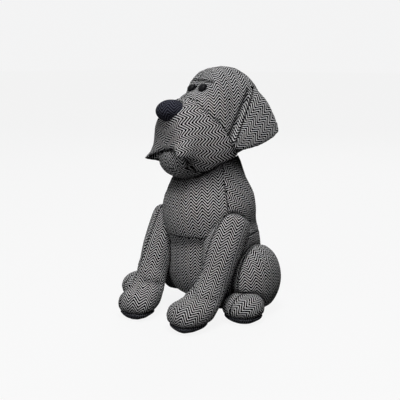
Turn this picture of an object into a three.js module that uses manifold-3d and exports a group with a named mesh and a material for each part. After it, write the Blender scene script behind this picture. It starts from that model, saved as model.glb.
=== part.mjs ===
// A weighted door stop sewn from herringbone cloth in the form of a sitting dog.
// Millimetres, +Z up. The dog faces -Y and its left is +X. The origin is the middle of the
// flat base panel that it stands on.

import * as THREE from "three";
import { LoftGeometry } from "three/addons/geometries/LoftGeometry.js";
import { mergeVertices } from "three/addons/utils/BufferGeometryUtils.js";
import Module from "manifold-3d";

// Seams.
const SEAM_GAP = 0.3; // between two pieces that are sewn together
const BASE_SEAM = 4; // height of the seam round the flat base panel
const SOLE_SEAM = 9; // height of the seam round each dark sole

// Body.
const BODY_HEIGHT = 194; // floor to the top of the neck
const BELLY_HEIGHT = 98; // floor to the crease under the chest
const BELLY_WIDE = 122;
const BELLY_DEEP = 122;
const CHEST_WIDE = 115;
const CHEST_DEEP = 120;
const NECK_WIDE = 74;
const BELLY_BACK = 18; // how far the belly's middle lies behind the neck
const BASE_MIDDLE = 38; // how far the base panel's middle lies behind the neck
const TAIL_THICK = 17;
const TAIL_CURL = 34; // how far the tip curls to the dog's left
const TAIL_REACH = 40; // root to the rearmost point

// Forelegs.
const FORELEG_THICK = 38;
const FOREPAW_WIDE = 46;
const SHOULDER_RISE = 28; // shoulder above the chest crease
const PAW_REACH = 102; // toes in front of the neck
const LEFT_PAW_OUT = 28; // paw to the side of the neck
const RIGHT_PAW_OUT = 45;

// Hind legs. The right one is pushed further out than the left.
const THIGH_THICK = 52;
const THIGH_LONG = 78;
const THIGH_TALL = 84;
const THIGH_BACK = 22; // thigh's middle behind the neck
const HIND_FOOT_WIDE = 50;
const HIND_FOOT_TALL = 36;
const HIND_FOOT_REACH = 50; // heel to toe, without the rounded ends
const RIGHT_FOOT_OUT = 18;

// Head, in a frame of its own: x to the dog's left, y to its back, z up from the chin.
const HEAD_SUNK = 26; // chin below the top of the neck
const HEAD_TURN = -21; // degrees about z, towards the dog's right
const HEAD_TILT = -6; // degrees about y, left side up
const HEAD_WIDE = 82;
const HEAD_HEIGHT = 130;
const HEAD_BACK = 66; // from the neck to the back of the skull
const BROW_REACH = 11; // from the neck to the brow
const CHIN_REACH = 62;
const CHIN_WIDE = 56;
const MUZZLE_REACH = 64;
const MUZZLE_WIDE = 72;
const MUZZLE_TOP = 96; // height of the bridge of the nose
const LIP_THICK = 5;
const LIP_HEIGHT = 23; // height of the lip's edge at its two front corners
const LIP_ARCH = 11; // how much higher the lip's edge is under the nose
const LIP_FLARE = 11; // how far the lip's front corners turn outwards
const LIP_CLEAR = 1.5; // between the lip and the chest that it hangs over
const JOWL_REACH = 38; // where the lip hangs lowest, nearly level with the chin
const JOWL_HEIGHT = 3;
const CHEEK_BACK = 12; // rear end of the muzzle cover
const CHEEK_HEIGHT = 24;
const NOSE_WIDE = 41;
const NOSE_TALL = 25;
const NOSE_DEEP = 32;
const EYE_WIDE = 10;
const EYE_SPACING = 28;
const EYE_RISE = 6; // eyes above the bridge of the nose
const EYE_STEM = 3; // diameter of the shank behind each eye
const EAR_LONG = 70;
const EAR_WIDE = 70;
const EAR_THICK = 8;
const EAR_TOP = 103;
const EAR_BACK = 32; // middle of the ear, behind the neck
const EAR_SWEEP = 4; // how far the ear's line bows forwards
const EAR_SET_IN = 10; // how deep the ear's root is sewn into the head
const EAR_OFF = 7; // how far the ear's edge stands off the head

const FAR = 400; // larger than the whole dog, for cutting planes
const WELD = 1e-3; // corners nearer than this are one corner

const wasm = await Module();
wasm.setup();

const vec = (x, y, z) => new THREE.Vector3(x, y, z);
const { clamp, degToRad, lerp, smoothstep } = THREE.MathUtils;

function welded(geometry) {
  const bare = new THREE.BufferGeometry();
  bare.setAttribute("position", geometry.getAttribute("position"));
  bare.setIndex(geometry.getIndex());
  return mergeVertices(bare, WELD);
}

// A geometry as a solid, without the slivers that close to a point at a pole.
function solid(geometry) {
  const mesh = welded(geometry);
  const corners = mesh.getIndex().array;
  const triangles = [];
  for (let i = 0; i < corners.length; i += 3) {
    const [a, b, c] = corners.slice(i, i + 3);
    if (a !== b && b !== c && c !== a) triangles.push(a, b, c);
  }
  return new wasm.Manifold(
    new wasm.Mesh({
      numProp: 3,
      vertProperties: mesh.getAttribute("position").array,
      triVerts: new Uint32Array(triangles),
    }),
  );
}

// A solid as a geometry. A cut can leave crumbs beside the piece, and the piece is kept.
function geometryOf(body) {
  const pieces = body.decompose().sort((a, b) => b.volume() - a.volume());
  const mesh = pieces[0].getMesh();
  const geometry = new THREE.BufferGeometry();
  const position = new THREE.BufferAttribute(new Float32Array(mesh.vertProperties), 3);
  geometry.setAttribute("position", position);
  geometry.setIndex(new THREE.BufferAttribute(new Uint32Array(mesh.triVerts), 1));
  geometry.computeVertexNormals();
  return geometry;
}

// The same form, larger all round by the given distance.
function swollen(geometry, by) {
  const form = welded(geometry);
  form.computeVertexNormals();
  const at = form.getAttribute("position");
  const out = form.getAttribute("normal");
  for (let i = 0; i < at.count; i++) {
    const x = at.getX(i) + by * out.getX(i);
    const y = at.getY(i) + by * out.getY(i);
    const z = at.getZ(i) + by * out.getZ(i);
    at.setXYZ(i, x, y, z);
  }
  return form;
}

// The room that a form needs in its neighbours.
const room = (geometry) => solid(swollen(geometry, SEAM_GAP));

function slab(low, high) {
  const box = new THREE.BoxGeometry(FAR, FAR, high - low);
  box.translate(0, 0, (low + high) / 2);
  return solid(box);
}

// A stuffed form: rounded rings along a spine, drawn in over the stated length at each end.
// Each row is the middle of a ring, half its width, half its height and how boxy it is.
function stuffed({ rows, across, facing, roundStart, roundEnd, rings, sides }) {
  const spine = new THREE.CatmullRomCurve3(rows.map((row) => row.at));
  const sizes = rows.map((row) => vec(row.wide, row.tall, row.box ?? 2));
  const halves = new THREE.CatmullRomCurve3(sizes, false, "catmullrom", 0.5);
  const length = spine.getLength();
  const sections = [];
  for (let i = 0; i <= rings; i++) {
    const crowded = (1 - Math.cos((Math.PI * i) / rings)) / 2;
    const t = lerp(0.002, 0.998, lerp(i / rings, crowded, 0.75));
    const size = halves.getPoint(t);
    const fromStart = Math.min(1, (t * length) / roundStart);
    const fromEnd = Math.min(1, ((1 - t) * length) / roundEnd);
    const drawn = Math.sqrt((1 - (1 - fromStart) ** 2) * (1 - (1 - fromEnd) ** 2));
    const normal = facing ?? spine.getTangent(t);
    const x = across.clone().addScaledVector(normal, -across.dot(normal)).normalize();
    const y = vec(0, 0, 0).crossVectors(normal, x);
    const round = (value) => Math.sign(value) * Math.abs(value) ** (2 / size.z);
    const section = [];
    for (let j = 0; j < sides; j++) {
      const angle = (2 * Math.PI * j) / sides;
      const wide = size.x * drawn * round(Math.cos(angle));
      const tall = size.y * drawn * round(Math.sin(angle));
      section.push(spine.getPoint(t).addScaledVector(x, wide).addScaledVector(y, tall));
    }
    sections.push(section);
  }
  return new LoftGeometry(sections, { capStart: true, capEnd: true });
}

const UPRIGHT = { across: vec(1, 0, 0), facing: vec(0, 0, 1) };

// A level ring of the body: how far back its middle is, its height, its width and its depth.
function ring(back, height, wide, deep) {
  return { at: vec(0, back, height), wide: wide / 2, tall: deep / 2 };
}

// The belly leans back from the chest crease and is tucked under towards the base panel.
function bellyForm() {
  const rows = [
    ring(BASE_MIDDLE, -1, 0.72 * BELLY_WIDE, 0.66 * BELLY_DEEP),
    ring(lerp(BASE_MIDDLE, BELLY_BACK, 0.2), 0.14 * BELLY_HEIGHT, 0.8 * BELLY_WIDE, 0.76 * BELLY_DEEP),
    ring(lerp(BASE_MIDDLE, BELLY_BACK, 0.7), 0.28 * BELLY_HEIGHT, 0.96 * BELLY_WIDE, 0.95 * BELLY_DEEP),
    ring(BELLY_BACK, 0.45 * BELLY_HEIGHT, BELLY_WIDE, BELLY_DEEP),
    ring(0.73 * BELLY_BACK, 0.72 * BELLY_HEIGHT, 0.98 * BELLY_WIDE, 0.97 * BELLY_DEEP),
    ring(0.6 * BELLY_BACK, BELLY_HEIGHT, 0.94 * BELLY_WIDE, 0.9 * BELLY_DEEP),
    ring(0.5 * BELLY_BACK, 1.24 * BELLY_HEIGHT, 0.84 * BELLY_WIDE, 0.84 * BELLY_DEEP),
    ring(0.4 * BELLY_BACK, 1.44 * BELLY_HEIGHT, 0.7 * BELLY_WIDE, 0.72 * BELLY_DEEP),
  ];
  return stuffed({ rows, ...UPRIGHT, roundStart: 8, roundEnd: 20, rings: 12, sides: 26 });
}

// The chest stands out over the crease in front and narrows to the neck.
function chestForm() {
  const span = BODY_HEIGHT - BELLY_HEIGHT;
  const rows = [
    ring(3, BELLY_HEIGHT - 9, 0.88 * CHEST_WIDE, 0.82 * CHEST_DEEP),
    ring(3, BELLY_HEIGHT + 0.06 * span, 0.95 * CHEST_WIDE, 0.94 * CHEST_DEEP),
    ring(3, BELLY_HEIGHT + 0.23 * span, CHEST_WIDE, 0.97 * CHEST_DEEP),
    ring(3, BELLY_HEIGHT + 0.4 * span, 0.98 * CHEST_WIDE, 0.94 * CHEST_DEEP),
    ring(4, BELLY_HEIGHT + 0.56 * span, 0.9 * CHEST_WIDE, 0.85 * CHEST_DEEP),
    ring(0, BELLY_HEIGHT + 0.83 * span, NECK_WIDE + 6, NECK_WIDE + 6),
    ring(0, BODY_HEIGHT, NECK_WIDE - 4, NECK_WIDE - 4),
  ];
  return stuffed({ rows, ...UPRIGHT, roundStart: 12, roundEnd: 8, rings: 12, sides: 26 });
}

// A short tail that leaves the seat low down and curls to the dog's left.
function tailForm() {
  const half = TAIL_THICK / 2;
  const root = BASE_MIDDLE + 0.23 * BELLY_DEEP;
  const height = TAIL_THICK + 3;
  const rows = [
    { at: vec(0, root, height + 2), wide: half, tall: half },
    { at: vec(0.1 * TAIL_CURL, root + 0.5 * TAIL_REACH, height), wide: half, tall: half },
    { at: vec(0.45 * TAIL_CURL, root + 0.9 * TAIL_REACH, height), wide: 0.9 * half, tall: 0.9 * half },
    { at: vec(TAIL_CURL, root + TAIL_REACH, height + 2), wide: 0.7 * half, tall: 0.7 * half },
  ];
  return stuffed({ rows, across: vec(0, 0, 1), roundStart: 6, roundEnd: 10, rings: 9, sides: 14 });
}

// A foreleg from the shoulder down and forwards to a paw that lies flat.
function forelegForm(shoulder, toe, bow) {
  const half = FORELEG_THICK / 2;
  const paw = FOREPAW_WIDE / 2;
  const point = (sideways, forwards, down, out) =>
    vec(
      lerp(shoulder.x, toe.x, sideways) + out * bow,
      lerp(shoulder.y, toe.y, forwards),
      lerp(shoulder.z, toe.z, down),
    );
  const rows = [
    { at: shoulder, wide: 1.1 * half, tall: half, box: 2.6 },
    { at: point(0.06, 0.24, 0.4, 1), wide: 1.06 * half, tall: half, box: 2.3 },
    { at: point(0.28, 0.44, 0.76, 1), wide: 0.95 * half, tall: 0.95 * half, box: 2.1 },
    { at: point(0.61, 0.66, 0.965, 0.5), wide: paw, tall: half, box: 2.2 },
    { at: toe, wide: 0.95 * paw, tall: 0.9 * half, box: 2.2 },
  ];
  return stuffed({ rows, across: vec(1, 0, 0), roundStart: 8, roundEnd: 16, rings: 14, sides: 20 });
}

function thighForm(at) {
  const thigh = new THREE.SphereGeometry(0.5, 18, 13);
  thigh.scale(THIGH_THICK, THIGH_LONG, THIGH_TALL);
  thigh.rotateX(degToRad(-8));
  thigh.translate(at.x, at.y, at.z);
  return thigh;
}

function hindFootForm(heel, toe) {
  const wide = HIND_FOOT_WIDE / 2;
  const tall = HIND_FOOT_TALL / 2;
  const rows = [
    { at: heel, wide: 0.9 * wide, tall, box: 2.2 },
    { at: heel.clone().lerp(toe, 0.5), wide, tall, box: 2.3 },
    { at: toe, wide: 0.9 * wide, tall: 0.86 * tall, box: 2.3 },
  ];
  return stuffed({ rows, across: vec(1, 0, 0), roundStart: 20, roundEnd: 18, rings: 10, sides: 18 });
}

const LEVEL = { across: vec(1, 0, 0), facing: vec(0, -1, 0) };

// An upright ring of the head: its reach forward, its top, its bottom and its width.
function headRing(reach, top, bottom, wide, box = 2.3) {
  return { at: vec(0, -reach, (top + bottom) / 2), wide: wide / 2, tall: (top - bottom) / 2, box };
}

// Skull, cheeks and chin, with the face dropping from the brow to the bridge of the nose.
function headForm() {
  const top = HEAD_HEIGHT;
  const rows = [
    headRing(-HEAD_BACK, 0.86 * top, 0.38 * top, 0.72 * HEAD_WIDE),
    headRing(-0.7 * HEAD_BACK, 0.925 * top, 0.24 * top, 0.9 * HEAD_WIDE),
    headRing(-0.35 * HEAD_BACK, top, 0.08 * top, 0.98 * HEAD_WIDE, 2.4),
    headRing(-4, 0.99 * top, 0, HEAD_WIDE, 2.5),
    headRing(0.85 * BROW_REACH, 0.95 * top, 0, 1.02 * HEAD_WIDE, 3),
    headRing(BROW_REACH + 8, 1.07 * MUZZLE_TOP, 0, 0.98 * HEAD_WIDE, 3),
    headRing(0.62 * CHIN_REACH, 0.975 * MUZZLE_TOP, 1, 0.86 * HEAD_WIDE),
    headRing(0.86 * CHIN_REACH, 0.6 * MUZZLE_TOP, 5, lerp(HEAD_WIDE, CHIN_WIDE, 0.6), 2.2),
    headRing(CHIN_REACH, 0.35 * MUZZLE_TOP, 9, CHIN_WIDE, 2.2),
  ];
  return stuffed({ rows, ...LEVEL, roundStart: 26, roundEnd: 12, rings: 17, sides: 24 });
}

// The muzzle and cheeks, padded a little beyond the head.
function muzzleForm(inset = 0) {
  const row = (reach, top, bottom, wide, box) =>
    headRing(reach, top * MUZZLE_TOP - inset, bottom, wide - 2 * inset, box);
  const rows = [
    row(-CHEEK_BACK - 12, 0.8, 8, HEAD_WIDE + 2),
    row(0, 0.9, 0, HEAD_WIDE + 5),
    row(0.31 * MUZZLE_REACH, 1, -5, HEAD_WIDE + 3),
    row(0.66 * MUZZLE_REACH, 0.97, -4, MUZZLE_WIDE + 4, 2.3),
    row(0.84 * MUZZLE_REACH, 0.86, 0, MUZZLE_WIDE, 2.4),
    row(MUZZLE_REACH - inset, 0.74, 8, 0.95 * MUZZLE_WIDE, 2.7),
  ];
  return stuffed({ rows, ...LEVEL, roundStart: 12, roundEnd: 9, rings: 13, sides: 24 });
}

// The muzzle cover seen from the side: a seam from the bridge of the nose down the cheek,
// a seam forward to the jowl, and the lip's edge rising to the front.
function muzzleOutline() {
  const bridge = MUZZLE_REACH - 16;
  const cheek = new THREE.Vector2(-CHEEK_BACK, CHEEK_HEIGHT);
  const along = (share, bulge) =>
    new THREE.Vector2(lerp(bridge, cheek.x, share), lerp(MUZZLE_TOP, cheek.y, share) + bulge);
  const side = new THREE.Shape();
  side.moveTo(bridge, FAR / 2);
  side.lineTo(bridge, MUZZLE_TOP);
  side.splineThru([along(0.29, 9), along(0.5, 6), along(0.77, 1), cheek]);
  side.lineTo(JOWL_REACH - 15, JOWL_HEIGHT + 5);
  side.lineTo(JOWL_REACH, JOWL_HEIGHT);
  side.lineTo(lerp(JOWL_REACH, MUZZLE_REACH, 0.4), lerp(JOWL_HEIGHT, LIP_HEIGHT, 0.36));
  side.lineTo(MUZZLE_REACH - 2, LIP_HEIGHT - 1);
  side.lineTo(MUZZLE_REACH + 20, LIP_HEIGHT);
  side.lineTo(MUZZLE_REACH + 20, FAR / 2);
  const plate = new THREE.ExtrudeGeometry(side, { depth: FAR, bevelEnabled: false, curveSegments: 3 });
  plate.translate(0, 0, -FAR / 2);
  // The shape's x is reach, its y is height, and the extrusion runs across the head.
  plate.applyMatrix4(new THREE.Matrix4().makeBasis(vec(0, -1, 0), vec(0, 0, 1), vec(-1, 0, 0)));
  return solid(plate);
}

// Under the nose the lip's edge is cut away in an arch, over the chin.
function lipArch() {
  const arch = new THREE.CylinderGeometry(0.5, 0.5, MUZZLE_REACH, 20);
  arch.scale(0.66 * MUZZLE_WIDE, 1, 2 * LIP_ARCH);
  arch.translate(0, -MUZZLE_REACH, LIP_HEIGHT);
  return solid(arch);
}

// The lip turns outwards at its two front corners.
function flareLip(lip) {
  const at = lip.getAttribute("position");
  const turn = 26; // height over which the lip turns out
  for (let i = 0; i < at.count; i++) {
    const drop = clamp((LIP_HEIGHT + turn - at.getZ(i)) / turn, 0, 1);
    const front = smoothstep(-at.getY(i), MUZZLE_REACH - 17, MUZZLE_REACH - 3);
    const corner = smoothstep(Math.abs(at.getX(i)), 4, 0.42 * MUZZLE_WIDE);
    const push = LIP_FLARE * drop * drop * front * corner;
    const out = 0.8 * push * Math.sign(at.getX(i));
    at.setXYZ(i, at.getX(i) + out, at.getY(i) - push, at.getZ(i));
  }
  lip.computeVertexNormals();
  return lip;
}

function noseForm() {
  const nose = new THREE.SphereGeometry(0.5, 20, 12);
  nose.scale(NOSE_WIDE, NOSE_DEEP, NOSE_TALL);
  nose.translate(0, -(MUZZLE_REACH - 10), MUZZLE_TOP - 17);
  return nose;
}

// A flat ear that widens downwards. The rings slope, so its front corner hangs lowest.
function earForm(side) {
  const row = (sweep, off, down, wide, thick) => ({
    at: vec(
      side * (HEAD_WIDE / 2 + lerp(-EAR_SET_IN, EAR_OFF, off)),
      EAR_BACK + sweep * EAR_SWEEP,
      EAR_TOP - down * EAR_LONG,
    ),
    wide: (wide * EAR_WIDE) / 2,
    tall: (thick * EAR_THICK) / 2,
  });
  const rows = [
    row(0.8, 0, 0, 0.16, 0.7),
    row(0.3, 0.3, 0.14, 0.28, 1),
    row(0, 0.55, 0.32, 0.46, 1.05),
    row(-0.5, 0.75, 0.56, 0.79, 1.05),
    row(-0.8, 0.88, 0.72, 0.97, 1),
    row(-0.2, 0.95, 0.86, 1, 0.95),
    row(1, 1, 1, 0.78, 0.8),
  ];
  const sloped = { across: vec(0, -1, -0.3).normalize(), facing: vec(0, 0.3, -1).normalize() };
  return stuffed({ rows, ...sloped, roundStart: 6, roundEnd: 7, rings: 12, sides: 16 });
}

// A domed eye on a shank, turned about +Y before it is set in the face.
function eyeForm() {
  const radius = EYE_WIDE / 2;
  const shank = EYE_STEM / 2;
  const steps = 6;
  const profile = [new THREE.Vector2(0, -9), new THREE.Vector2(shank, -9)];
  profile.push(new THREE.Vector2(shank, -0.3 * radius));
  for (let i = 0; i < steps; i++) {
    const angle = degToRad(-20 + (110 * i) / steps);
    profile.push(new THREE.Vector2(radius * Math.cos(angle), 0.85 * radius * Math.sin(angle)));
  }
  profile.push(new THREE.Vector2(0, 0.85 * radius));
  return new THREE.LatheGeometry(profile, 14);
}

// An eye lies on the face where a line from straight ahead meets it, and looks a little up.
function setEye(side, head) {
  const face = new THREE.Mesh(head, new THREE.MeshBasicMaterial({ side: THREE.DoubleSide }));
  const ahead = vec((side * EYE_SPACING) / 2, -FAR, MUZZLE_TOP + EYE_RISE);
  const seat = new THREE.Raycaster(ahead, vec(0, 1, 0)).intersectObject(face)[0].point;
  const eye = eyeForm();
  eye.rotateX(degToRad(180 - 12));
  eye.rotateZ(degToRad(side * 8));
  eye.translate(seat.x, seat.y, seat.z);
  return eye;
}

function piece(name, geometry, color, roughness = 0.95) {
  const material = new THREE.MeshStandardMaterial({ color, roughness, metalness: 0 });
  const mesh = new THREE.Mesh(geometry, material);
  mesh.name = name;
  return mesh;
}

const TWEED = 0x6a6a6c;
const DARK_CLOTH = 0x33343a;
const NOSE_TWEED = 0x3c3e46;
const EYE_BLACK = 0x0a0a0c;

// The head's group carries its turn and tilt, and its pieces are cut in the head's frame.
const headGroup = new THREE.Group();
headGroup.position.set(6, 5, BODY_HEIGHT - HEAD_SUNK);
headGroup.rotation.set(0, degToRad(HEAD_TILT), degToRad(HEAD_TURN), "ZYX");
headGroup.updateMatrix();

const head = headForm();
const muzzle = muzzleForm();
const nose = noseForm();
const eyes = { left: setEye(1, head), right: setEye(-1, head) };
const outline = muzzleOutline();

const headSolid = solid(head)
  .subtract(room(nose))
  .subtract(room(eyes.left))
  .subtract(room(eyes.right));

const mouth = solid(muzzleForm(LIP_THICK)).intersect(slab(-FAR, LIP_HEIGHT + LIP_ARCH + 4));
const muzzleSolid = solid(muzzle)
  .intersect(outline)
  .subtract(mouth)
  .subtract(lipArch())
  .subtract(room(head))
  .subtract(room(nose));

headGroup.add(piece("head", geometryOf(headSolid), TWEED));
headGroup.add(piece("muzzle", flareLip(geometryOf(muzzleSolid)), TWEED));
headGroup.add(piece("nose", nose, NOSE_TWEED));
for (const [side, sign] of [["left", 1], ["right", -1]]) {
  const ear = solid(earForm(sign)).subtract(room(head)).subtract(room(muzzle).intersect(outline));
  headGroup.add(piece("eye_" + side, eyes[side], EYE_BLACK, 0.1));
  headGroup.add(piece("ear_" + side, geometryOf(ear), TWEED));
}

// The limbs, each placed from the part of the body that carries it.
const shoulderHeight = BELLY_HEIGHT + SHOULDER_RISE;
const thighOut = BELLY_WIDE / 2 - 4;
const soleHeight = HIND_FOOT_TALL / 2;
const limbs = {
  left: {
    foreleg: forelegForm(
      vec(0.39 * CHEST_WIDE, -4, shoulderHeight),
      vec(LEFT_PAW_OUT, -PAW_REACH, 0.45 * FORELEG_THICK),
      0,
    ),
    thigh: thighForm(vec(thighOut, THIGH_BACK, THIGH_TALL / 2 + 2)),
    foot: hindFootForm(
      vec(thighOut + 7, 14, soleHeight),
      vec(thighOut + 3, 14 - HIND_FOOT_REACH, soleHeight - 3),
    ),
  },
  right: {
    foreleg: forelegForm(
      vec(-0.38 * CHEST_WIDE, -12, shoulderHeight + 1),
      vec(-RIGHT_PAW_OUT, 4 - PAW_REACH, 0.43 * FORELEG_THICK),
      -5,
    ),
    thigh: thighForm(vec(-thighOut - 6, THIGH_BACK + 2, THIGH_TALL / 2 + 9)),
    foot: hindFootForm(
      vec(-thighOut - 5 - RIGHT_FOOT_OUT, 9, soleHeight + 4),
      vec(-thighOut - 30 - RIGHT_FOOT_OUT, 9 - HIND_FOOT_REACH, soleHeight - 3),
    ),
  },
};

// The trunk gives way to the head and to every limb that is sewn to it.
const belly = bellyForm();
const standing = slab(0, FAR);
const lipRoom = solid(swollen(muzzle, LIP_CLEAR)).intersect(outline.translate(0, 0, -LIP_CLEAR));
const headRoom = room(head).add(lipRoom).transform(headGroup.matrix.toArray());
let trunk = solid(belly).add(solid(chestForm())).intersect(standing).subtract(headRoom);
for (const { foreleg, thigh, foot } of Object.values(limbs)) {
  trunk = trunk.subtract(room(foreleg)).subtract(room(thigh)).subtract(room(foot));
}
const tail = solid(tailForm()).subtract(room(belly));

// What lies below a seam, and what lies above it.
const under = (seam) => slab(0, seam - SEAM_GAP / 2);
const over = (seam) => slab(seam + SEAM_GAP / 2, FAR);

// Everything is laid out from the neck, and moved forwards to bring the base panel to the origin.
const dog = new THREE.Group();
dog.position.y = -BASE_MIDDLE;
dog.add(headGroup);
dog.add(piece("torso", geometryOf(trunk.intersect(over(BASE_SEAM))), TWEED));
dog.add(piece("base_panel", geometryOf(trunk.intersect(under(BASE_SEAM))), DARK_CLOTH));
dog.add(piece("tail", geometryOf(tail), TWEED));

for (const [side, { foreleg, thigh, foot }] of Object.entries(limbs)) {
  const leg = solid(foreleg);
  const hind = solid(foot).subtract(room(foreleg));
  const haunch = solid(thigh).intersect(over(SOLE_SEAM)).subtract(room(foot)).subtract(room(foreleg));
  dog.add(piece("foreleg_" + side, geometryOf(leg.intersect(over(SOLE_SEAM))), TWEED));
  dog.add(piece("foresole_" + side, geometryOf(leg.intersect(under(SOLE_SEAM))), DARK_CLOTH));
  dog.add(piece("thigh_" + side, geometryOf(haunch), TWEED));
  dog.add(piece("hind_foot_" + side, geometryOf(hind.intersect(over(SOLE_SEAM))), TWEED));
  dog.add(piece("hindsole_" + side, geometryOf(hind.intersect(under(SOLE_SEAM))), DARK_CLOTH));
}

const doorStop = new THREE.Group();
doorStop.add(dog);

export default doorStop;
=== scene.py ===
import math

import bpy
import numpy as np
from mathutils import Matrix, Vector, kdtree, noise
from mathutils.bvhtree import BVHTree


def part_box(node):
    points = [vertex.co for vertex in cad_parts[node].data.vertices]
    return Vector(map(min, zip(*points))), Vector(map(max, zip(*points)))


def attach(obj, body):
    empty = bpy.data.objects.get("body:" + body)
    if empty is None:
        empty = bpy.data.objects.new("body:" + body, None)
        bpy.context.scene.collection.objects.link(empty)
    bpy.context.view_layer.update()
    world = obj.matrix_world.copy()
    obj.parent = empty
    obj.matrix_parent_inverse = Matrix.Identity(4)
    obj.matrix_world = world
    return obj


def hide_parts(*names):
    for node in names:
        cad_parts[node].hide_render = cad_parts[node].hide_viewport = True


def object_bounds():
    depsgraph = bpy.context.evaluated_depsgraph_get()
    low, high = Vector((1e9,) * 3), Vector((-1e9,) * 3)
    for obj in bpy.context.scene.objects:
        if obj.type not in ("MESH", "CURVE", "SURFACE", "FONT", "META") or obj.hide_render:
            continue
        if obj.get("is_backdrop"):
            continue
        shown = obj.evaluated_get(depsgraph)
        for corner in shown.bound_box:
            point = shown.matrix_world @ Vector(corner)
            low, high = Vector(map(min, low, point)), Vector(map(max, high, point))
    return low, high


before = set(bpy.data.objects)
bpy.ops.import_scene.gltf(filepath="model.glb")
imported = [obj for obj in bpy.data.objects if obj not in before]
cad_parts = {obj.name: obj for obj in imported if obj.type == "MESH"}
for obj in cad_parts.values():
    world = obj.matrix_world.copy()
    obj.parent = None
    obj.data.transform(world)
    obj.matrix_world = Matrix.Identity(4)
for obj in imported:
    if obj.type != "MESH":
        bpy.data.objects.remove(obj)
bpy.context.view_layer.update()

# The studio: a plain pale floor that runs out of sight into a pale background, a large soft
# light high in front of the dog, a weak one low down in front, one behind, and the camera.
FLOOR_SEEN = 0.885  # how pale the floor looks before the lights add to it
SKY_SEEN = (0.9, 0.9, 0.902, 1)  # how pale the background looks
SKY_LIGHT = 0.08  # what the pale room adds to the soft lights


def seen_directly(nodes, links):
    """1 where the camera sees something straight, mirrored or through glass, and 0 elsewhere."""
    path = nodes.new("ShaderNodeLightPath")
    seen = path.outputs["Is Camera Ray"]
    for ray in ("Is Glossy Ray", "Is Transmission Ray"):
        either = nodes.new("ShaderNodeMath")
        either.operation = "MAXIMUM"
        links.new(seen, either.inputs[0])
        links.new(path.outputs[ray], either.inputs[1])
        seen = either.outputs[0]
    return seen


bpy.ops.object.select_all(action="DESELECT")
bpy.ops.mesh.primitive_plane_add(size=30, location=(0, 0, -0.0003))
floor = bpy.context.object
floor.name = "floor"
pale = bpy.data.materials.new("pale_floor")
pale.use_nodes = True
nodes = pale.node_tree.nodes
links = pale.node_tree.links
nodes.clear()
floor_out = nodes.new("ShaderNodeOutputMaterial")
floor_sum = nodes.new("ShaderNodeAddShader")
floor_matt = nodes.new("ShaderNodeBsdfDiffuse")
floor_matt.inputs["Color"].default_value = (0.06, 0.06, 0.061, 1)
floor_glow = nodes.new("ShaderNodeEmission")
floor_glow.inputs["Color"].default_value = (1, 1, 1, 1)
floor_level = nodes.new("ShaderNodeMath")
floor_level.operation = "MULTIPLY"
floor_level.inputs[1].default_value = FLOOR_SEEN
links.new(seen_directly(nodes, links), floor_level.inputs[0])
links.new(floor_level.outputs[0], floor_glow.inputs["Strength"])
links.new(floor_matt.outputs[0], floor_sum.inputs[0])
links.new(floor_glow.outputs[0], floor_sum.inputs[1])
links.new(floor_sum.outputs[0], floor_out.inputs["Surface"])
floor.data.materials.append(pale)
floor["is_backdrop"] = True

sky = bpy.data.worlds.new("studio")
bpy.context.scene.world = sky
sky.use_nodes = True
nodes = sky.node_tree.nodes
links = sky.node_tree.links
nodes.clear()
sky_out = nodes.new("ShaderNodeOutputWorld")
sky_near = nodes.new("ShaderNodeBackground")
sky_near.inputs["Color"].default_value = (1, 1, 1, 1)
sky_near.inputs["Strength"].default_value = SKY_LIGHT
sky_far = nodes.new("ShaderNodeBackground")
sky_far.inputs["Color"].default_value = SKY_SEEN
sky_mix = nodes.new("ShaderNodeMixShader")
links.new(seen_directly(nodes, links), sky_mix.inputs["Fac"])
links.new(sky_near.outputs[0], sky_mix.inputs[1])
links.new(sky_far.outputs[0], sky_mix.inputs[2])
links.new(sky_mix.outputs[0], sky_out.inputs["Surface"])


def soft_light(name, place, aim, size, power):
    """A square soft box at a place, turned towards the point it lights."""
    turn = (Vector(aim) - Vector(place)).to_track_quat("-Z", "Y").to_euler()
    bpy.ops.object.light_add(type="AREA", location=place, rotation=turn)
    lamp = bpy.context.object
    lamp.name = name
    lamp.data.shape = "SQUARE"
    lamp.data.size = size
    lamp.data.energy = power


DOG_MIDDLE = (0, -0.05, 0.15)
soft_light("key", (0.58, -0.75, 1.8), DOG_MIDDLE, 0.7, 30)
soft_light("front", (0.15, -1.6, 0.5), (0, -0.05, 0.12), 0.9, 5)
soft_light("back", (-0.7, 1.3, 1.4), DOG_MIDDLE, 1.0, 10)

camera_place = Vector((0.5837, -0.8004, 0.3063))
camera_aim = Vector((0.038, -0.102, 0.150))
camera_turn = (camera_aim - camera_place).to_track_quat("-Z", "Y").to_euler()
bpy.ops.object.camera_add(location=camera_place, rotation=camera_turn)
camera = bpy.context.object
camera.data.sensor_width = 36
camera.data.lens = 72.36
bpy.context.scene.camera = camera
bpy.context.scene.view_settings.view_transform = "Standard"

# The body: a chest and a belly of herringbone tweed, cut in panels and sewn together, with a
# gathered crease between them. Sand fills the belly and loose stuffing fills the chest.
MM = 0.001
UP = Vector((0, 0, 1))
STILL = Vector((0, 0, 0))
NECK_LINE = -0.038  # y of the neck's middle
CREASE_HEIGHT = 0.1  # of the gathered line between the chest and the belly
SIDE_SEAM_TURN = math.radians(63)  # from the front to the seam down each flank
TUCK_GAP = 2.2 * MM  # closer than this to another piece, the skin is hidden
COLLAR = 20 * MM  # how far below the head the neck changes its form
THROAT_DROP = 3.5 * MM  # how far the neck is drawn down under the chin
NAPE_RISE = 9.5 * MM  # how far it stands up into the fold behind the left cheek
FOLD_SHADE = 16 * MM  # how far down from the jaw the painted shade of the fold under the head reaches
THREAD = 0.8 * MM  # one thread of the warp, across a column
PICK = 0.93 * MM  # one thread of the weft, along a column
COLUMN_THREADS = 8
FLOAT_REACH = 0.58  # how far a pale thread shows each way from its middle, in picks
FLOAT_UNEVEN = 0.2  # how much that differs from float to float
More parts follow.
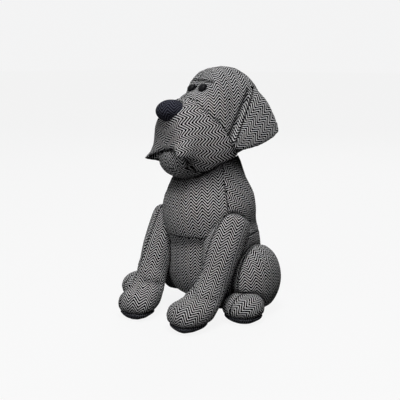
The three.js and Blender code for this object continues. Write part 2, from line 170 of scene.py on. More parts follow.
THREAD_GAP = 0.06  # dark share at each edge of a pale thread
THREAD_WANDER = 0.4  # how far the threads stray from straight, in threads
RELIEF = 0.25 * MM  # height of the weave
MAP_UNIT = 0.1  # metres of cloth to one unit of the flat layout


def tree_of(mesh):
    """The mesh as a form to which the nearest point can be found."""
    return BVHTree.FromPolygons(
        [v.co for v in mesh.vertices], [f.vertices[:] for f in mesh.polygons]
    )


def ramp(value, start, end):
    """Rises evenly from 0 at start to 1 at end, and stays there."""
    return max(0.0, min(1.0, (value - start) / (end - start)))


def cloth_form(name, node, grid, rounds, plump=0.0):
    """An even skin over the plain form of a stuffed piece, with its facets smoothed away.

    A thin piece is first let out by plump, so that its edges keep their cloth.
    """
    bpy.ops.object.select_all(action="DESELECT")
    piece = bpy.data.objects.new(name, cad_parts[node].data.copy())
    bpy.context.scene.collection.objects.link(piece)
    bpy.context.view_layer.objects.active = piece
    piece.select_set(True)
    piece.data.materials.clear()
    bpy.ops.object.mode_set(mode="EDIT")
    bpy.ops.mesh.select_all(action="SELECT")
    bpy.ops.mesh.remove_doubles(threshold=0.01 * MM)
    bpy.ops.object.mode_set(mode="OBJECT")
    if plump:
        fuller = piece.modifiers.new("fuller", "DISPLACE")
        fuller.mid_level = 0
        fuller.strength = plump
        bpy.ops.object.modifier_apply(modifier=fuller.name)
    even = piece.modifiers.new("even", "REMESH")
    even.mode = "VOXEL"
    even.voxel_size = grid
    bpy.ops.object.modifier_apply(modifier=even.name)
    soft = piece.modifiers.new("soft", "SMOOTH")
    soft.factor = 0.5
    soft.iterations = rounds
    bpy.ops.object.modifier_apply(modifier=soft.name)
    return piece


def press(piece, push):
    """Moves each point of a skin by what push gives for its place and normal."""
    moves = [push(v.co.copy(), v.normal.copy()) for v in piece.data.vertices]
    for vertex, move in zip(piece.data.vertices, moves):
        vertex.co += move


def cut_line(piece, point, across):
    """A straight line of edges round the piece, where two panels meet."""
    bpy.ops.object.mode_set(mode="EDIT")
    bpy.ops.mesh.select_all(action="SELECT")
    bpy.ops.mesh.bisect(plane_co=point, plane_no=across)
    bpy.ops.object.mode_set(mode="OBJECT")


def near_node(*names):
    """Tells whether a point is tucked against one of these pieces."""
    trees = [tree_of(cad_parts[name].data) for name in names]
    return lambda point, gap: any(tree.find_nearest(point, gap)[0] for tree in trees)


TRUE_REACH = 40 * MM  # how far from its truest point the cloth still counts for the grain
NO_DIRECTION = 1e-22  # a face smaller than this says nothing about the grain
LEAST_FLAT = 1e-12  # no patch is taken to be smaller than this on the layout


def lay_flat(piece, panel_of, grain, stretch=1.0):
    """Lays each panel out flat at its real size, with its columns along its grain.

    panel_of names the panel of a face, and grain gives each panel's direction and the point
    where the cloth runs truest. With a stretch above 1 the cloth is pulled out on the piece.
    Returns the points along the seams, by the panels they join.
    """
    mesh = piece.data
    ids = [panel_of(face.center, face.normal) for face in mesh.polygons]
    owners = {}
    for number, face in enumerate(mesh.polygons):
        for key in face.edge_keys:
            owners.setdefault(key, []).append(number)
    seams = {}
    for edge in mesh.edges:
        around = owners[edge.key]
        pair = tuple(sorted({ids[n] for n in around}))
        edge.use_seam = len(pair) > 1
        if edge.use_seam:
            a, b = (mesh.vertices[v].co for v in edge.vertices)
            seams.setdefault(pair, []).extend([a.copy(), (a + b) / 2])
    mesh.uv_layers.new(name="cloth")
    bpy.ops.object.mode_set(mode="EDIT")
    bpy.ops.mesh.select_all(action="SELECT")
    bpy.ops.uv.select_all(action="SELECT")
    bpy.ops.uv.unwrap(method="MINIMUM_STRETCH", margin=0.0)
    bpy.ops.object.mode_set(mode="OBJECT")
    mesh = piece.data
    layout = mesh.uv_layers.active.data

    # A panel can come out in several patches: the faces of each get the same number.
    island = [-1] * len(mesh.polygons)
    count = 0
    seam_keys = {edge.key for edge in mesh.edges if edge.use_seam}
    for start in range(len(mesh.polygons)):
        if island[start] >= 0:
            continue
        island[start] = count
        todo = [start]
        while todo:
            face = mesh.polygons[todo.pop()]
            for key in face.edge_keys:
                if key in seam_keys:
                    continue
                for other in owners[key]:
                    if island[other] < 0:
                        island[other] = count
                        todo.append(other)
        count += 1

    # Each patch is scaled to its real area and turned until its grain points up the layout.
    for number in range(count):
        faces = [mesh.polygons[n] for n in range(len(island)) if island[n] == number]
        along, middle = grain[ids[island.index(number)]]
        solid_area = flat_area = 0.0
        turn = np.zeros(2)
        nearest = (math.inf, np.zeros(2))
        for face in faces:
            loops = list(face.loop_indices)
            p = [mesh.vertices[mesh.loops[n].vertex_index].co for n in loops]
            q = [np.array(layout[n].uv) for n in loops]
            flat = 0.0
            for k in range(1, len(q) - 1):
                one, two = q[k] - q[0], q[k + 1] - q[0]
                flat += abs(one[0] * two[1] - one[1] * two[0]) / 2
            solid_area += face.area
            flat_area += flat
            e = np.array([p[1] - p[0], p[2] - p[0]])
            f = np.array([q[1] - q[0], q[2] - q[0]])
            gram = e @ e.T
            if abs(np.linalg.det(gram)) < NO_DIRECTION:
                continue
            away = (face.center - middle).length
            weight = face.area * math.exp(-((away / TRUE_REACH) ** 2))
            turn += weight * (f.T @ np.linalg.solve(gram, e @ np.array(along)))
            if away < nearest[0]:
                nearest = (away, q[0])
        scale = math.sqrt(solid_area / max(flat_area, LEAST_FLAT)) / MAP_UNIT / stretch
        angle = math.pi / 2 - math.atan2(turn[1], turn[0])
        cos, sin = math.cos(angle) * scale, math.sin(angle) * scale
        spin = np.array([[cos, -sin], [sin, cos]])
        for face in faces:
            for n in face.loop_indices:
                layout[n].uv = spin @ (np.array(layout[n].uv) - nearest[1])
    return seams


def finish_skin(piece, levels):
    """Fine, smooth cloth: the skin is divided, and the layout of the weave goes with it."""
    bpy.ops.object.select_all(action="DESELECT")
    bpy.context.view_layer.objects.active = piece
    piece.select_set(True)
    fine = piece.modifiers.new("fine", "SUBSURF")
    fine.levels = levels
    fine.render_levels = levels
    bpy.ops.object.modifier_apply(modifier=fine.name)
    piece.data.polygons.foreach_set("use_smooth", [True] * len(piece.data.polygons))


def sew_and_paint_shade(piece, lines, crumple=0.5 * MM, seed=0.0):
    """Draws the seams in and lets the cloth pucker along them and rumple in between.

    Each line is its points, its depth, its half width and how dark it shows, from 0 to 1. The
    darkness is a seam's dark line and painted shade of its groove; lines with no depth paint only
    the shade of a fold or gap. The seed picks the piece's own rumples.
    """
    mesh = piece.data
    trees = []
    for points, depth, half, dark in lines:
        tree = kdtree.KDTree(len(points))
        for number, point in enumerate(points):
            tree.insert(point, number)
        tree.balance()
        trees.append((tree, depth, half, dark))
    # how dark each point shows: seams' dark lines and painted shade in grooves, creases and folds
    seam_and_painted_shade = mesh.attributes.new("seam", "FLOAT", "POINT")
    shift = Vector((seed, 7 * seed, -3 * seed))
    moved = []
    for vertex in mesh.vertices:
        at = vertex.co
        rise = crumple * (noise.noise(at * 28 + shift) + 0.4 * noise.noise(at * 75 + shift))
        mark = 0.0
        for tree, depth, half, dark in trees:
            away = tree.find(at)[2]
            if away < 9 * half:
                near = math.exp(-((away / half) ** 2))
                beside = math.exp(-(((away - 2.6 * half) / (1.8 * half)) ** 2))
                pucker = noise.noise(at * 210 + shift)
                rise -= depth * near * (1 + 0.5 * pucker)
                rise += depth * beside * (0.25 + 0.55 * pucker)
                mark = max(mark, dark * near)
        seam_and_painted_shade.data[vertex.index].value = mark
        moved.append(at + vertex.normal * rise)
    for vertex, at in zip(mesh.vertices, moved):
        vertex.co = at


SEAM_SHADE = (0.04, 0.04, 0.045)  # what is left of the cloth's colour along a seam's dark line, partly painted shade of its groove, and in the painted shade of deep folds and gaps


def blend(tree, factor, first, second, how="MIX"):
    """Mixes two colours by a factor. Each is three numbers or comes from another node."""
    mix = tree.nodes.new("ShaderNodeMix")
    mix.data_type = "RGBA"
    mix.blend_type = how
    tree.links.new(factor, mix.inputs["Factor"])
    for socket, colour in ((mix.inputs[6], first), (mix.inputs[7], second)):
        if isinstance(colour, tuple):
            socket.default_value = (*colour, 1)
        else:
            tree.links.new(colour, socket)
    return mix.outputs[2]


def herringbone(name, light, dark, nap):
    """Herringbone twill of pale warp over dark weft, drawn thread by thread on the flat layout.

    nap is how much the raised fibres blur the pattern in places.
    """
    cloth = bpy.data.materials.new(name)
    cloth.use_nodes = True
    tree = cloth.node_tree
    shader = tree.nodes["Principled BSDF"]

    def calc(operation, *values):
        """One step of a sum, on numbers or on what other nodes give."""
        node = tree.nodes.new("ShaderNodeMath")
        node.operation = operation
        for number, value in enumerate(values):
            if isinstance(value, (int, float)):
                node.inputs[number].default_value = value
            else:
                tree.links.new(value, node.inputs[number])
        return node.outputs[0]

    def speckle(size, detail, *place):
        """Noise from 0 to 1 at a place on the cloth."""
        join = tree.nodes.new("ShaderNodeCombineXYZ")
        for number, value in enumerate(place):
            tree.links.new(value, join.inputs[number])
        mottle = tree.nodes.new("ShaderNodeTexNoise")
        mottle.inputs["Scale"].default_value = size
        mottle.inputs["Detail"].default_value = detail
        tree.links.new(join.outputs[0], mottle.inputs["Vector"])
        return mottle.outputs["Fac"]

    layout = tree.nodes.new("ShaderNodeUVMap")
    layout.uv_map = "cloth"
    split = tree.nodes.new("ShaderNodeSeparateXYZ")
    tree.links.new(layout.outputs[0], split.inputs[0])
    astray = calc("SUBTRACT", speckle(9, 2, *split.outputs[:2]), 0.5)
    wander = calc("MULTIPLY", astray, THREAD_WANDER)
    across = calc("ADD", calc("MULTIPLY", split.outputs[0], MAP_UNIT / THREAD), wander)
    along = calc("ADD", calc("MULTIPLY", split.outputs[1], MAP_UNIT / PICK), wander)
    warp = calc("FLOOR", across)
    weft = calc("FLOOR", along)
    in_column = calc("PINGPONG", calc("ADD", warp, 0.5), COLUMN_THREADS)
    step = calc("FLOOR", in_column)
    fibre = speckle(60, 3, across, along)
    # Each pale thread passes over two of every four dark ones and dips under the next two.
    place = calc("FLOORED_MODULO", calc("ADD", along, step), 4)
    off_middle = calc("ABSOLUTE", calc("SUBTRACT", place, 1))
    uneven = calc("MULTIPLY", calc("SUBTRACT", fibre, 0.5), FLOAT_UNEVEN)
    reach = calc("ADD", FLOAT_REACH, uneven)
    in_float = calc("LESS_THAN", off_middle, reach)
    thread_round = calc("PINGPONG", across, 0.5)
    in_thread = calc("GREATER_THAN", thread_round, THREAD_GAP)
    warp_up = calc("MULTIPLY", in_float, in_thread)
    thread_high = calc("MULTIPLY", calc("SQRT", thread_round), 1.5)
    pick_high = calc("SQRT", calc("PINGPONG", along, 0.5))
    over = tree.nodes.new("ShaderNodeMix")
    tree.links.new(warp_up, over.inputs["Factor"])
    tree.links.new(pick_high, over.inputs[2])
    tree.links.new(thread_high, over.inputs[3])
    height = over.outputs[0]

    # The pale yarn is uneven, and odd dark and pale fibres cross everywhere.
    yarn = speckle(0.6, 2, warp, weft)
    patch = speckle(11, 2, *split.outputs[:2])
    pale_level = calc("SUBTRACT", calc("ADD", calc("MULTIPLY", yarn, 1.1), fibre), 0.1)
    dark_level = calc("MULTIPLY", calc("POWER", fibre, 4), 12)
    pale_yarn = blend(tree, pale_level, (0, 0, 0), light)
    dark_yarn = blend(tree, dark_level, (0, 0, 0), dark)
    clear = calc("SUBTRACT", 1.15, calc("MULTIPLY", patch, nap))
    level = calc("ADD", 0.5, calc("MULTIPLY", calc("SUBTRACT", warp_up, 0.5), clear))
    woven = blend(tree, level, dark_yarn, pale_yarn)
    # The seams' dark lines and the painted shade of grooves, folds and gaps darken the cloth here.
    seam = tree.nodes.new("ShaderNodeAttribute")
    seam.attribute_name = "seam"
    shaded = blend(tree, seam.outputs["Fac"], woven, SEAM_SHADE, "MULTIPLY")
    tree.links.new(shaded, shader.inputs["Base Color"])

    relief = tree.nodes.new("ShaderNodeBump")
    relief.inputs["Strength"].default_value = 0.6
    relief.inputs["Distance"].default_value = RELIEF
    tree.links.new(calc("ADD", height, calc("MULTIPLY", fibre, 0.6)), relief.inputs["Height"])
    tree.links.new(relief.outputs[0], shader.inputs["Normal"])
    shader.inputs["Roughness"].default_value = 0.95
    shader.inputs["Specular IOR Level"].default_value = 0.0
    shader.inputs["Sheen Weight"].default_value = 0.03
    shader.inputs["Sheen Roughness"].default_value = 0.5
    return cloth


tweed = herringbone("tweed", (0.94, 0.94, 0.95), (0.004, 0.004, 0.005), 0.1)

body = cloth_form("body_cloth", "torso", 4 * MM, 6)
over_neck = tree_of(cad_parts["head"].data)


def press_neck(at, out):
    """The neck is drawn down at the throat and stands up into the fold behind the cheek."""
    gap = over_neck.find_nearest(at, COLLAR)[3]
    if gap is None:
        return STILL
    behind_cheek = ramp(at.x, 0, 0.02) * ramp(at.y, -0.07, -0.05)
    rise = (THROAT_DROP + NAPE_RISE) * behind_cheek - THROAT_DROP
    return rise * (1 - gap / COLLAR) * UP


press(body, press_neck)
cut_line(body, (0, 0, CREASE_HEIGHT), UP)
flank = Vector((math.cos(SIDE_SEAM_TURN), math.sin(SIDE_SEAM_TURN), 0))
cut_line(body, (0, NECK_LINE, 0), flank)
cut_line(body, (0, NECK_LINE, 0), Vector((-flank.x, flank.y, 0)))
cut_line(body, (0, 0, 0), (1, 0, 0))
tucked = near_node(
    "head", "muzzle", "foreleg_left", "foreleg_right", "thigh_left", "thigh_right",
    "hind_foot_left", "hind_foot_right", "base_panel",
)


def body_panel(at, out):
    """The panel of the body that a point belongs to."""
    if tucked(at, TUCK_GAP):
        return "tucked"
    level = "chest" if at.z > CREASE_HEIGHT else "belly"
    back = at.y - NECK_LINE
    front = back * math.sin(SIDE_SEAM_TURN) + abs(at.x) * math.cos(SIDE_SEAM_TURN) < 0
    if front:
        return level + "_front"
    return level + ("_left" if at.x > 0 else "_right")


ASLANT = Vector((0.2, -0.65, 0.72)).normalized()  # the sides of the chest are cut on the bias
NEAR_UP = Vector((-0.2, -0.14, 1))
body_seams = lay_flat(body, body_panel, {
    "tucked": (UP, Vector((0, 0, 0.1))),
    "chest_front": (NEAR_UP, Vector((0, -0.095, 0.14))),
    "belly_front": (UP, Vector((0, -0.08, 0.07))),
    "chest_left": (ASLANT, Vector((0.05, -0.02, 0.14))),
    "chest_right": (ASLANT, Vector((-0.05, -0.02, 0.14))),
    "belly_left": (UP, Vector((0.055, 0.0, 0.07))),
    "belly_right": (UP, Vector((-0.055, 0.0, 0.07))),
})
finish_skin(body, 2)
sewn = [p for pair, pts in body_seams.items() if "tucked" not in pair for p in pts]
all_seams = [p for pts in body_seams.values() for p in pts]
neck_fold = [p for p in all_seams if over_neck.find_nearest(p, 5 * MM)[0] is not None]
# The chest under the jaw is darkened with painted shade, fading with distance from the head's and
# muzzle's points below this height.
JAW_TOP = 0.195
jaw = [
    v.co for part in ("head", "muzzle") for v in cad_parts[part].data.vertices
    if v.co.z < JAW_TOP
]
# The seams are grooves with dark lines; under the jaw the cloth is only darkened, as painted shade.
sew_and_paint_shade(body, [(sewn, 0.9 * MM, 1.1 * MM, 1), (jaw, 0, FOLD_SHADE, 0.97)], 0.8 * MM, seed=1)
body.data.materials.append(tweed)
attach(body, "root")
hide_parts("torso")

# The forelegs: long stuffed tubes, each sewn from two panels and stitched by hand to the chest
# at the shoulder. One of the leg's seams faces forward, and its dark stitches show.
SHOULDER_FULL = 9 * MM  # how much fuller the left leg is on its inner side
INNER_SIDE = Vector((-0.79, -0.61, 0))
STITCH_SPACING = 3.1 * MM
STITCH_BAND = 14 * MM  # the stitched seam strays no further than this from a straight line


def limb(name, node, points, seed, grid=3 * MM, crumple=0.6 * MM, push=None, folds=()):
    """A stuffed limb of two panels, whose seams lie in the plane through three points.

    The first and last point lie on the seam and the second one on the limb's middle line. push
    presses the limb into its form, and folds are creases beside the seams, drawn in with painted
    shade in them. Returns the limb and the points along its seam.
    """
    piece = cloth_form(name, node, grid, 6)
    if push:
        press(piece, push)
    top, middle, toe = (Vector(p) for p in points)
    across = (middle - top).cross(toe - top).normalized()
    cut_line(piece, top, across)
    low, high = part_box(node)

    def panel(at, out):
        if out.z < -0.9 and at.z < low.z + 1.5 * MM:
            return "under"
        return "one" if (at - top).dot(across) > 0 else "other"

    seams = lay_flat(piece, panel, {
        "under": (UP, middle),
        "one": (top - toe, middle + 0.03 * across),
        "other": (top - toe, middle - 0.03 * across),
    })
    finish_skin(piece, 1)
    lines = [(pts, 0.8 * MM, 1.0 * MM, 1) for pair, pts in seams.items() if "under" not in pair]
    sew_and_paint_shade(piece, lines + list(folds), crumple, seed)
    piece.data.materials.append(tweed)
    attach(piece, "root")
    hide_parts(node)
    return piece, seams[("one", "other")]


def mottled(name, size, darkest, palest, roughness):
    """A plain material whose colour differs a little from place to place."""
    material = bpy.data.materials.new(name)
    material.use_nodes = True
    tree = material.node_tree
    shader = tree.nodes["Principled BSDF"]
    place = tree.nodes.new("ShaderNodeTexCoord")
    cloud = tree.nodes.new("ShaderNodeTexNoise")
    cloud.inputs["Scale"].default_value = size
    tree.links.new(place.outputs["Object"], cloud.inputs["Vector"])
    colour = blend(tree, cloud.outputs["Fac"], darkest, palest)
    tree.links.new(colour, shader.inputs["Base Color"])
    shader.inputs["Roughness"].default_value = roughness
    return material


thread_black = mottled("thread_black", 4000, (0.002, 0.002, 0.003), (0.02, 0.02, 0.024), 0.7)


def stitch_row(name, skin, points, spacing):
    """Single stitches of black thread across a seam, at an even spacing along it."""
    kept = []
    for point in sorted(points, key=lambda p: -p.z):
        if all((point - other).length > spacing for other in kept):
            kept.append(point)
    bpy.ops.object.select_all(action="DESELECT")
    bpy.ops.mesh.primitive_ico_sphere_add(subdivisions=2, radius=0.6 * MM)
    row = bpy.context.object
    row.name = name
    bpy.ops.object.mode_set(mode="EDIT")
    bpy.ops.transform.resize(value=(1.9, 0.8, 0.8))
    bpy.ops.object.mode_set(mode="OBJECT")
    stitches = [row]
    for _ in kept[1:]:
        stitch = row.copy()
        stitch.data = row.data.copy()
        bpy.context.scene.collection.objects.link(stitch)
        stitches.append(stitch)
    shape = tree_of(skin.data)
    for number, (stitch, point) in enumerate(zip(stitches, kept)):
        place, out = shape.find_nearest(point)[:2]
        beside = kept[number + 1] if number + 1 < len(kept) else kept[number - 1]
        way = (beside - point).cross(out).normalized()
        turn = Matrix((way, out.cross(way), out)).transposed().to_4x4()
        stitch.data.transform(Matrix.Translation(place + 0.25 * MM * out) @ turn)
        stitch.select_set(True)
    bpy.context.view_layer.objects.active = row
    bpy.ops.object.join()
    bpy.ops.object.shade_smooth()
    row.data.materials.append(thread_black)
    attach(row, "root")


def press_left_shoulder(at, out):
    """The left leg is stuffed fullest high up on its inner side."""
    return SHOULDER_FULL * ramp(at.z, 0.070, 0.105) * max(0.0, out.dot(INNER_SIDE)) * out


def fold_line(*corners):
    """Points close together along a line through these corners."""
    corners = [Vector(corner) for corner in corners]
    return [a.lerp(b, n / 20) for a, b in zip(corners, corners[1:]) for n in range(21)]


# Creases across the ankles, where each paw bends forward: a groove with painted shade in it.
ANKLE_LEFT = fold_line((0.027, -0.104, 0.048), (0.0416, -0.1121, 0.0393), (0.0575, -0.098, 0.036))
ANKLE_RIGHT = fold_line((-0.064, -0.094, 0.047), (-0.0416, -0.107, 0.0448), (-0.027, -0.092, 0.039))
on_body = near_node("torso")
for side_name, seam_line, seed, push, fold in (
    (
        "left",
        ((0.0430, -0.0728, 0.1090), (0.0445, -0.0655, 0.0870), (0.0284, -0.0972, 0.0511)),
        2, press_left_shoulder, (ANKLE_LEFT, 1.8 * MM, 3.5 * MM, 0.2),
    ),
    (
        "right",
        ((-0.0484, -0.0706, 0.1251), (-0.056, -0.0706, 0.0900), (-0.0569, -0.0969, 0.0625)),
        3, None, (ANKLE_RIGHT, 2.6 * MM, 3.5 * MM, 0.45),
    ),
):
    leg, seam = limb(
        "foreleg_cloth_" + side_name, "foreleg_" + side_name, seam_line, seed,
        push=push, folds=[fold],
    )
    top, toe = Vector(seam_line[0]), Vector(seam_line[2])
    front = [
        p for p in seam
        if (p - top).cross((toe - top).normalized()).length < STITCH_BAND
        and not on_body(p, 2 * MM)
    ]
    stitch_row("foreleg_stitches_" + side_name, leg, front, STITCH_SPACING)

# The thighs and hind feet: egg-shaped pads sewn to the flanks, with a foot stitched on in front.
# The tail is a short curled tube of the same cloth.
limb(
    "thigh_cloth_left", "thigh_left",
    ((0.057, -0.016, 0.090), (0.057, -0.052, 0.044), (0.057, -0.016, 0.005)),
    seed=4,
)
limb(
    "thigh_cloth_right", "thigh_right",
    ((-0.063, -0.014, 0.096), (-0.063, -0.050, 0.052), (-0.063, -0.014, 0.012)),
    seed=5,
)
limb(
    "hind_foot_cloth_left", "hind_foot_left",
    ((0.064, -0.010, 0.030), (0.062, -0.050, 0.034), (0.060, -0.070, 0.017)),
    seed=6,
)
limb(
    "hind_foot_cloth_right", "hind_foot_right",
    ((-0.080, -0.010, 0.030), (-0.092, -0.050, 0.034), (-0.104, -0.078, 0.017)),
    seed=7,
)
limb(
    "tail_cloth", "tail",
    ((0.000, 0.030, 0.030), (0.015, 0.062, 0.022), (0.034, 0.068, 0.022)),
    seed=8, grid=2 * MM, crumple=0.4 * MM,
)

# The head is turned and tilted on the neck. Its pieces are laid out in its own directions, in
# millimetres from the neck: x to the dog's left, y to the back and z up.
HEAD_PLACE = Matrix.Translation((0.006, -0.033, 0.168))
HEAD_TURN = Matrix.Rotation(math.radians(-21), 4, "Z") @ Matrix.Rotation(math.radians(-6), 4, "Y")
HEAD = HEAD_PLACE @ HEAD_TURN
IN_HEAD = HEAD.inverted()


def head_point(x, y, z):
    """The place of a point that is given in the head's directions."""
    return HEAD @ Vector((x * MM, y * MM, z * MM))


def head_way(x, y, z):
    """A direction that is given in the head's directions."""
    return (HEAD.to_3x3() @ Vector((x, y, z))).normalized()


# The muzzle: a padded cover sewn over the bridge of the nose and the cheeks. It hangs free
# below as the lips, whose edges are rolled out over the chin.
MUZZLE_STRETCH = 1.12  # the cover is pulled tight over the cheeks
MUZZLE_HEART = Vector((0, -15, 50))  # the lining is what faces this point inside the muzzle
RIGHT_LIP_ROLL = Vector((-2.5, -2, 7.5))
LEFT_LIP_ROLL = Vector((3.5, 0, 8))
LIP_TOP = 34  # below this the edge of the cover is the lips' edge
muzzle = cloth_form("muzzle_cloth", "muzzle", 2.0 * MM, 7, plump=1.1 * MM)
cut_line(muzzle, head_point(0, 0, 0), head_way(1, 0, 0))


def muzzle_panel(at, out):
    p = IN_HEAD @ at / MM
    n = IN_HEAD.to_3x3() @ out
    if n.dot(p - MUZZLE_HEART) < 0:
        return "lining"
    return "muzzle_left" if p.x > 0 else "muzzle_right"


muzzle_seams = lay_flat(muzzle, muzzle_panel, {
    "lining": (head_way(0, -1, 0), head_point(0, -40, 40)),
    "muzzle_left": (head_way(0, 1, 0.04), head_point(40, -35, 45)),
    "muzzle_right": (head_way(0, 1, 0.04), head_point(-40, -35, 45)),
}, stretch=MUZZLE_STRETCH)
finish_skin(muzzle, 1)


def lip_roll(at):
    """Both lips are rolled up and out, the right one at its edge, the left one more evenly."""
    p = IN_HEAD @ at / MM
    right = ramp(-p.x, 4, 20) * ramp(-p.z, -32, -12)
    left = ramp(p.x, 0, 24) * ramp(-p.z, -56, -8)
    roll = right * RIGHT_LIP_ROLL + left * LEFT_LIP_ROLL
    return HEAD.to_3x3() @ roll * MM * ramp(-p.y, 28, 48)


press(muzzle, lambda at, out: lip_roll(at))
cover_seam = [p for pair, pts in muzzle_seams.items() if "lining" in pair for p in pts]
lip_edge = [p + lip_roll(p) for p in cover_seam if (IN_HEAD @ p / MM).z < LIP_TOP]
# The lips' edge is grooved and darkened: the dark line is the hem's joint and painted shadow of the
# mouth line.
sew_and_paint_shade(muzzle, [(lip_edge, 0.1 * MM, 1.9 * MM, 1)], 0.6 * MM, seed=10)
muzzle.data.materials.append(tweed)
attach(muzzle, "root")
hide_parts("muzzle")

# The skull, cheeks and chin are one stuffed form, sewn from two side panels and a chin panel,
# with a short dart over the brow. It is drawn in a little where the muzzle cover lies on it.
CHIN_SEAM = 14
CHIN_MIDDLE = Vector((0, -44, 16))
CHIN_REACH = 34  # how far round its middle the chin is full
JAW_HEIGHT = 34  # above this the head keeps its form
CHIN_FULL = 4.5
JAW_DRAW = 5  # how far the jaw is drawn in and up where it meets the neck
UNDER_COVER = 2 * MM  # how far the muzzle cover draws the skin in
under_muzzle = near_node("muzzle")
head = cloth_form("head_cloth", "head", 3.5 * MM, 5)
cut_line(head, head_point(0, 0, 0), head_way(1, 0, 0))
cut_line(head, head_point(0, 0, CHIN_SEAM), head_way(0, 0, 1))


def head_panel(at, out):
    p = IN_HEAD @ at / MM
    if p.z < CHIN_SEAM:
        return "chin"
    return "face_left" if p.x > 0 else "face_right"


head_seams = lay_flat(head, head_panel, {
    "chin": (head_way(0.5, 0.3, -1), head_point(15, -55, 8)),
    "face_left": (head_way(0, 0, 1), head_point(40, 0, 85)),
    "face_right": (head_way(0, 0, 1), head_point(-40, 0, 85)),
})
finish_skin(head, 2)


def press_head(at, out):
    """The chin is stuffed full, the jaw is drawn up, and the cover draws in what it hides."""
    p = IN_HEAD @ at / MM
    if p.z > CHIN_SEAM - 2 and under_muzzle(at, 2.4 * MM):
        return -UNDER_COVER * out
    if p.z > JAW_HEIGHT:
        return STILL
    full = CHIN_FULL * max(0.0, 1 - ((p - CHIN_MIDDLE).length / CHIN_REACH) ** 2)
    drawn = JAW_DRAW * ramp(-p.z, -32, -14) * ramp(p.y, -30, -10)
    return (full - drawn) * MM * out + drawn * MM * head_way(0, 0, 1)


press(head, press_head)
head_form = tree_of(head.data)


def drawn_line(corners, spacing=1 * MM):
    """Points along a line drawn on the head through these corners."""
    points = []
    for a, b in zip(corners, corners[1:]):
        steps = max(1, round((b - a).length / spacing))
        points += [head_form.find_nearest(a.lerp(b, n / steps))[0] for n in range(steps + 1)]
    return points


brow_dart = drawn_line([
    head_point(-22, -13, 115), head_point(12, -15, 112), head_point(28, -13, 108),
])
COVER_FRONT = -46  # in front of this the cover's edge is no longer sewn to the face
cover_edge = [p for p in cover_seam if (IN_HEAD @ p / MM).y > COVER_FRONT]
ear_root = drawn_line([head_point(42, 31, 101), head_point(46, 12, 72), head_point(46, -4, 43)])
head_lines = [(pts, 0.5 * MM, 0.9 * MM, 0.8) for pts in head_seams.values()]
head_lines += [
    (brow_dart, 1.2 * MM, 1.1 * MM, 0.9),
    (cover_edge, 0.3 * MM, 1.4 * MM, 0.45),
    # painted shadow where the ear's front edge lies on the face, in a shallow groove
    (ear_root, 0.6 * MM, 2.0 * MM, 0.95),
    # painted shade in the fold where the head meets the neck, with no groove
    (neck_fold, 0, 8 * MM, 1),
    # painted shadow under the lips' edge on the chin, in a groove
    (lip_edge, 1.5 * MM, 3.0 * MM, 1),
]
sew_and_paint_shade(head, head_lines, 0.6 * MM, seed=9)
head.data.materials.append(tweed)
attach(head, "root")
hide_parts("head")

# The ears: two flat flaps, sewn into the head at the top. A strip of the cloth is folded over
# along the front edge and stitched down.
EAR_EDGE = Vector((0, 29.8, 101.4))  # top of the front edge
EAR_EDGE_BACK = Vector((0, 0.868, -0.498))  # across the ear, away from the front edge
EAR_EDGE_DOWN = Vector((0, -0.498, -0.868))  # down along the front edge
HEM_WIDE = 6.5
HEM_THICK = 0.6
EAR_BACK_ALONG = Vector((0.9, 0.43))  # along the upper back edge: backwards, down
EAR_BACK_MIDDLE = 26  # where along it the edge is fullest
EAR_BACK_HALF = 17  # how far the fullness runs each way from there
EAR_BACK_DEEP = 25  # how far into the ear it runs
EAR_BACK_FULL = 4.5  # how much fuller that edge is cut than a straight one


def hem_depth(at):
    """How far a point of the ear lies behind its front edge, in millimetres."""
    return (IN_HEAD @ at / MM - EAR_EDGE).dot(EAR_EDGE_BACK)


for side_name, sign in (("left", 1), ("right", -1)):
    ear = cloth_form("ear_cloth_" + side_name, "ear_" + side_name, 1.8 * MM, 3, plump=0.3 * MM)
    hem_line = EAR_EDGE + HEM_WIDE * EAR_EDGE_BACK
    cut_line(ear, head_point(*hem_line), head_way(*EAR_EDGE_BACK))

    def ear_panel(at, out):
        n = IN_HEAD.to_3x3() @ out
        if n.x * sign < 0:
            return "inside"
        return "hem" if hem_depth(at) < HEM_WIDE else "outside"

    seams = lay_flat(ear, ear_panel, {
        "outside": (head_way(0, -0.7, -0.7), head_point(sign * 46, 34, 60)),
        "hem": (head_way(0, -0.5, -0.87), head_point(sign * 46, 5, 50)),
        "inside": (head_way(0, -0.7, -0.7), head_point(sign * 40, 34, 60)),
    })
    finish_skin(ear, 1)
    lines = [(pts, 0.9 * MM, 0.9 * MM, 1) for pair, pts in seams.items() if "hem" in pair]
    sew_and_paint_shade(ear, lines, 0.5 * MM, seed=11 + sign)

    def shape_ear(at, out):
        """The strip along the front lies thicker, and the upper back edge is cut full."""
        depth = hem_depth(at)
        down = (IN_HEAD @ at / MM - EAR_EDGE).dot(EAR_EDGE_DOWN)
        along = EAR_BACK_ALONG.x * depth + EAR_BACK_ALONG.y * down
        inside = EAR_BACK_ALONG.x * down - EAR_BACK_ALONG.y * depth
        full = EAR_BACK_FULL * math.exp(-(((along - EAR_BACK_MIDDLE) / EAR_BACK_HALF) ** 2))
        full *= ramp(-inside, -EAR_BACK_DEEP, 0)
        spread = full * (EAR_BACK_ALONG.y * EAR_EDGE_BACK - EAR_BACK_ALONG.x * EAR_EDGE_DOWN)
        folded = depth < HEM_WIDE - 1 and (IN_HEAD.to_3x3() @ out).x * sign > 0
        return HEAD.to_3x3() @ spread * MM + (HEM_THICK * MM * out if folded else STILL)

    press(ear, shape_ear)
    ear.data.materials.append(tweed)
    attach(ear, "root")
    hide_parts("ear_" + side_name)

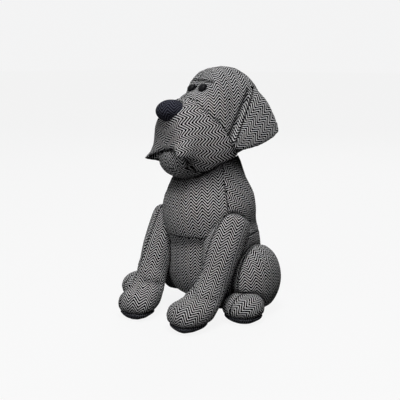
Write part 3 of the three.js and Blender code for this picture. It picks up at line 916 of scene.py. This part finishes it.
# The nose: a small oval in a darker, navy herringbone, stuffed hard. It is stitched to the
# muzzle cover at the end of the bridge and stands a little proud of it.
NOSE_PROUD = 3.5 * MM
nose_tweed = herringbone("nose_tweed", (0.11, 0.115, 0.15), (0.014, 0.014, 0.022), 0.3)
nose = cloth_form("nose_cloth", "nose", 2 * MM, 6, plump=0.8 * MM)
lay_flat(nose, lambda at, out: "front" if (IN_HEAD @ at).y < -0.05 else "back", {
    "front": (head_way(0, 0, 1), head_point(0, -68, 79)),
    "back": (head_way(0, 0, 1), head_point(0, -40, 79)),
})
finish_skin(nose, 1)
press(nose, lambda at, out: NOSE_PROUD * head_way(0.9, -1, -0.1))
sew_and_paint_shade(nose, [], 0.3 * MM, seed=14)
nose.data.materials.append(nose_tweed)
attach(nose, "root")
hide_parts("nose")

# The soles and the base panel: a plain dark navy cloth of the same wool. Each is cut to the
# outline of its paw or of the body and sewn in flat.
sole_cloth = herringbone("sole_cloth", (0.2, 0.205, 0.23), (0.03, 0.03, 0.038), 0.5)
for node in ("foresole_left", "foresole_right", "hindsole_left", "hindsole_right", "base_panel"):
    grid = 3 * MM if node == "base_panel" else 1.5 * MM
    sole = cloth_form(node + "_cloth", node, grid, 2)
    low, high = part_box(node)
    middle = (Vector(low) + Vector(high)) / 2
    lay_flat(sole, lambda at, out: "under" if out.z < 0 else "upper", {
        "under": (Vector((0, 1, 0)), middle),
        "upper": (Vector((0, 1, 0)), middle),
    })
    finish_skin(sole, 1)
    sew_and_paint_shade(sole, [], 0.2 * MM, seed=15)
    sole.data.materials.append(sole_cloth)
    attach(sole, "root")
    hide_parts(node)

# The eyes: domed buttons of glossy black plastic, close together under the brow. Each has a
# shank at the back, which is pulled tight into the face.
EYE_RADIUS = 5.8 * MM
EYE_DOME = 0.75  # height of the dome as a share of its radius
EYE_PROUD = 2 * MM  # how far its widest ring stands off the face
EYE_RIM = 0.35 * MM
eye_black = mottled("eye_black", 900, (0.003, 0.003, 0.004), (0.012, 0.012, 0.014), 0.1)
eye_shader = eye_black.node_tree.nodes["Principled BSDF"]
eye_shader.inputs["Specular IOR Level"].default_value = 0.07

bpy.ops.object.select_all(action="DESELECT")
bpy.ops.mesh.primitive_uv_sphere_add(segments=40, ring_count=24, radius=EYE_RADIUS)
left_eye = bpy.context.object
left_eye.name = "eye_dome_left"
bpy.ops.object.mode_set(mode="EDIT")
bpy.ops.mesh.select_all(action="SELECT")
bpy.ops.mesh.bisect(
    plane_co=(0, 0, -0.25 * EYE_RADIUS), plane_no=(0, 0, 1), use_fill=True, clear_inner=True
)
bpy.ops.mesh.select_all(action="SELECT")
bpy.ops.transform.resize(value=(1, 1, EYE_DOME))
bpy.ops.object.mode_set(mode="OBJECT")
rim = left_eye.modifiers.new("rim", "BEVEL")
rim.width = EYE_RIM
rim.segments = 3
bpy.ops.object.modifier_apply(modifier=rim.name)
bpy.ops.object.shade_smooth()
left_eye.data.materials.append(eye_black)
right_eye = left_eye.copy()
right_eye.data = left_eye.data.copy()
right_eye.name = "eye_dome_right"
bpy.context.scene.collection.objects.link(right_eye)

for eye, side_name, spot in (
    (left_eye, "left", head_point(18, -21, 103)),
    (right_eye, "right", head_point(-4.5, -22, 104)),
):
    place, out = head_form.find_nearest(spot)[:2]
    turn = out.to_track_quat("Z", "Y").to_matrix().to_4x4()
    eye.data.transform(Matrix.Translation(place + EYE_PROUD * out) @ turn)
    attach(eye, "root")
    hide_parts("eye_" + side_name)

low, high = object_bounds()
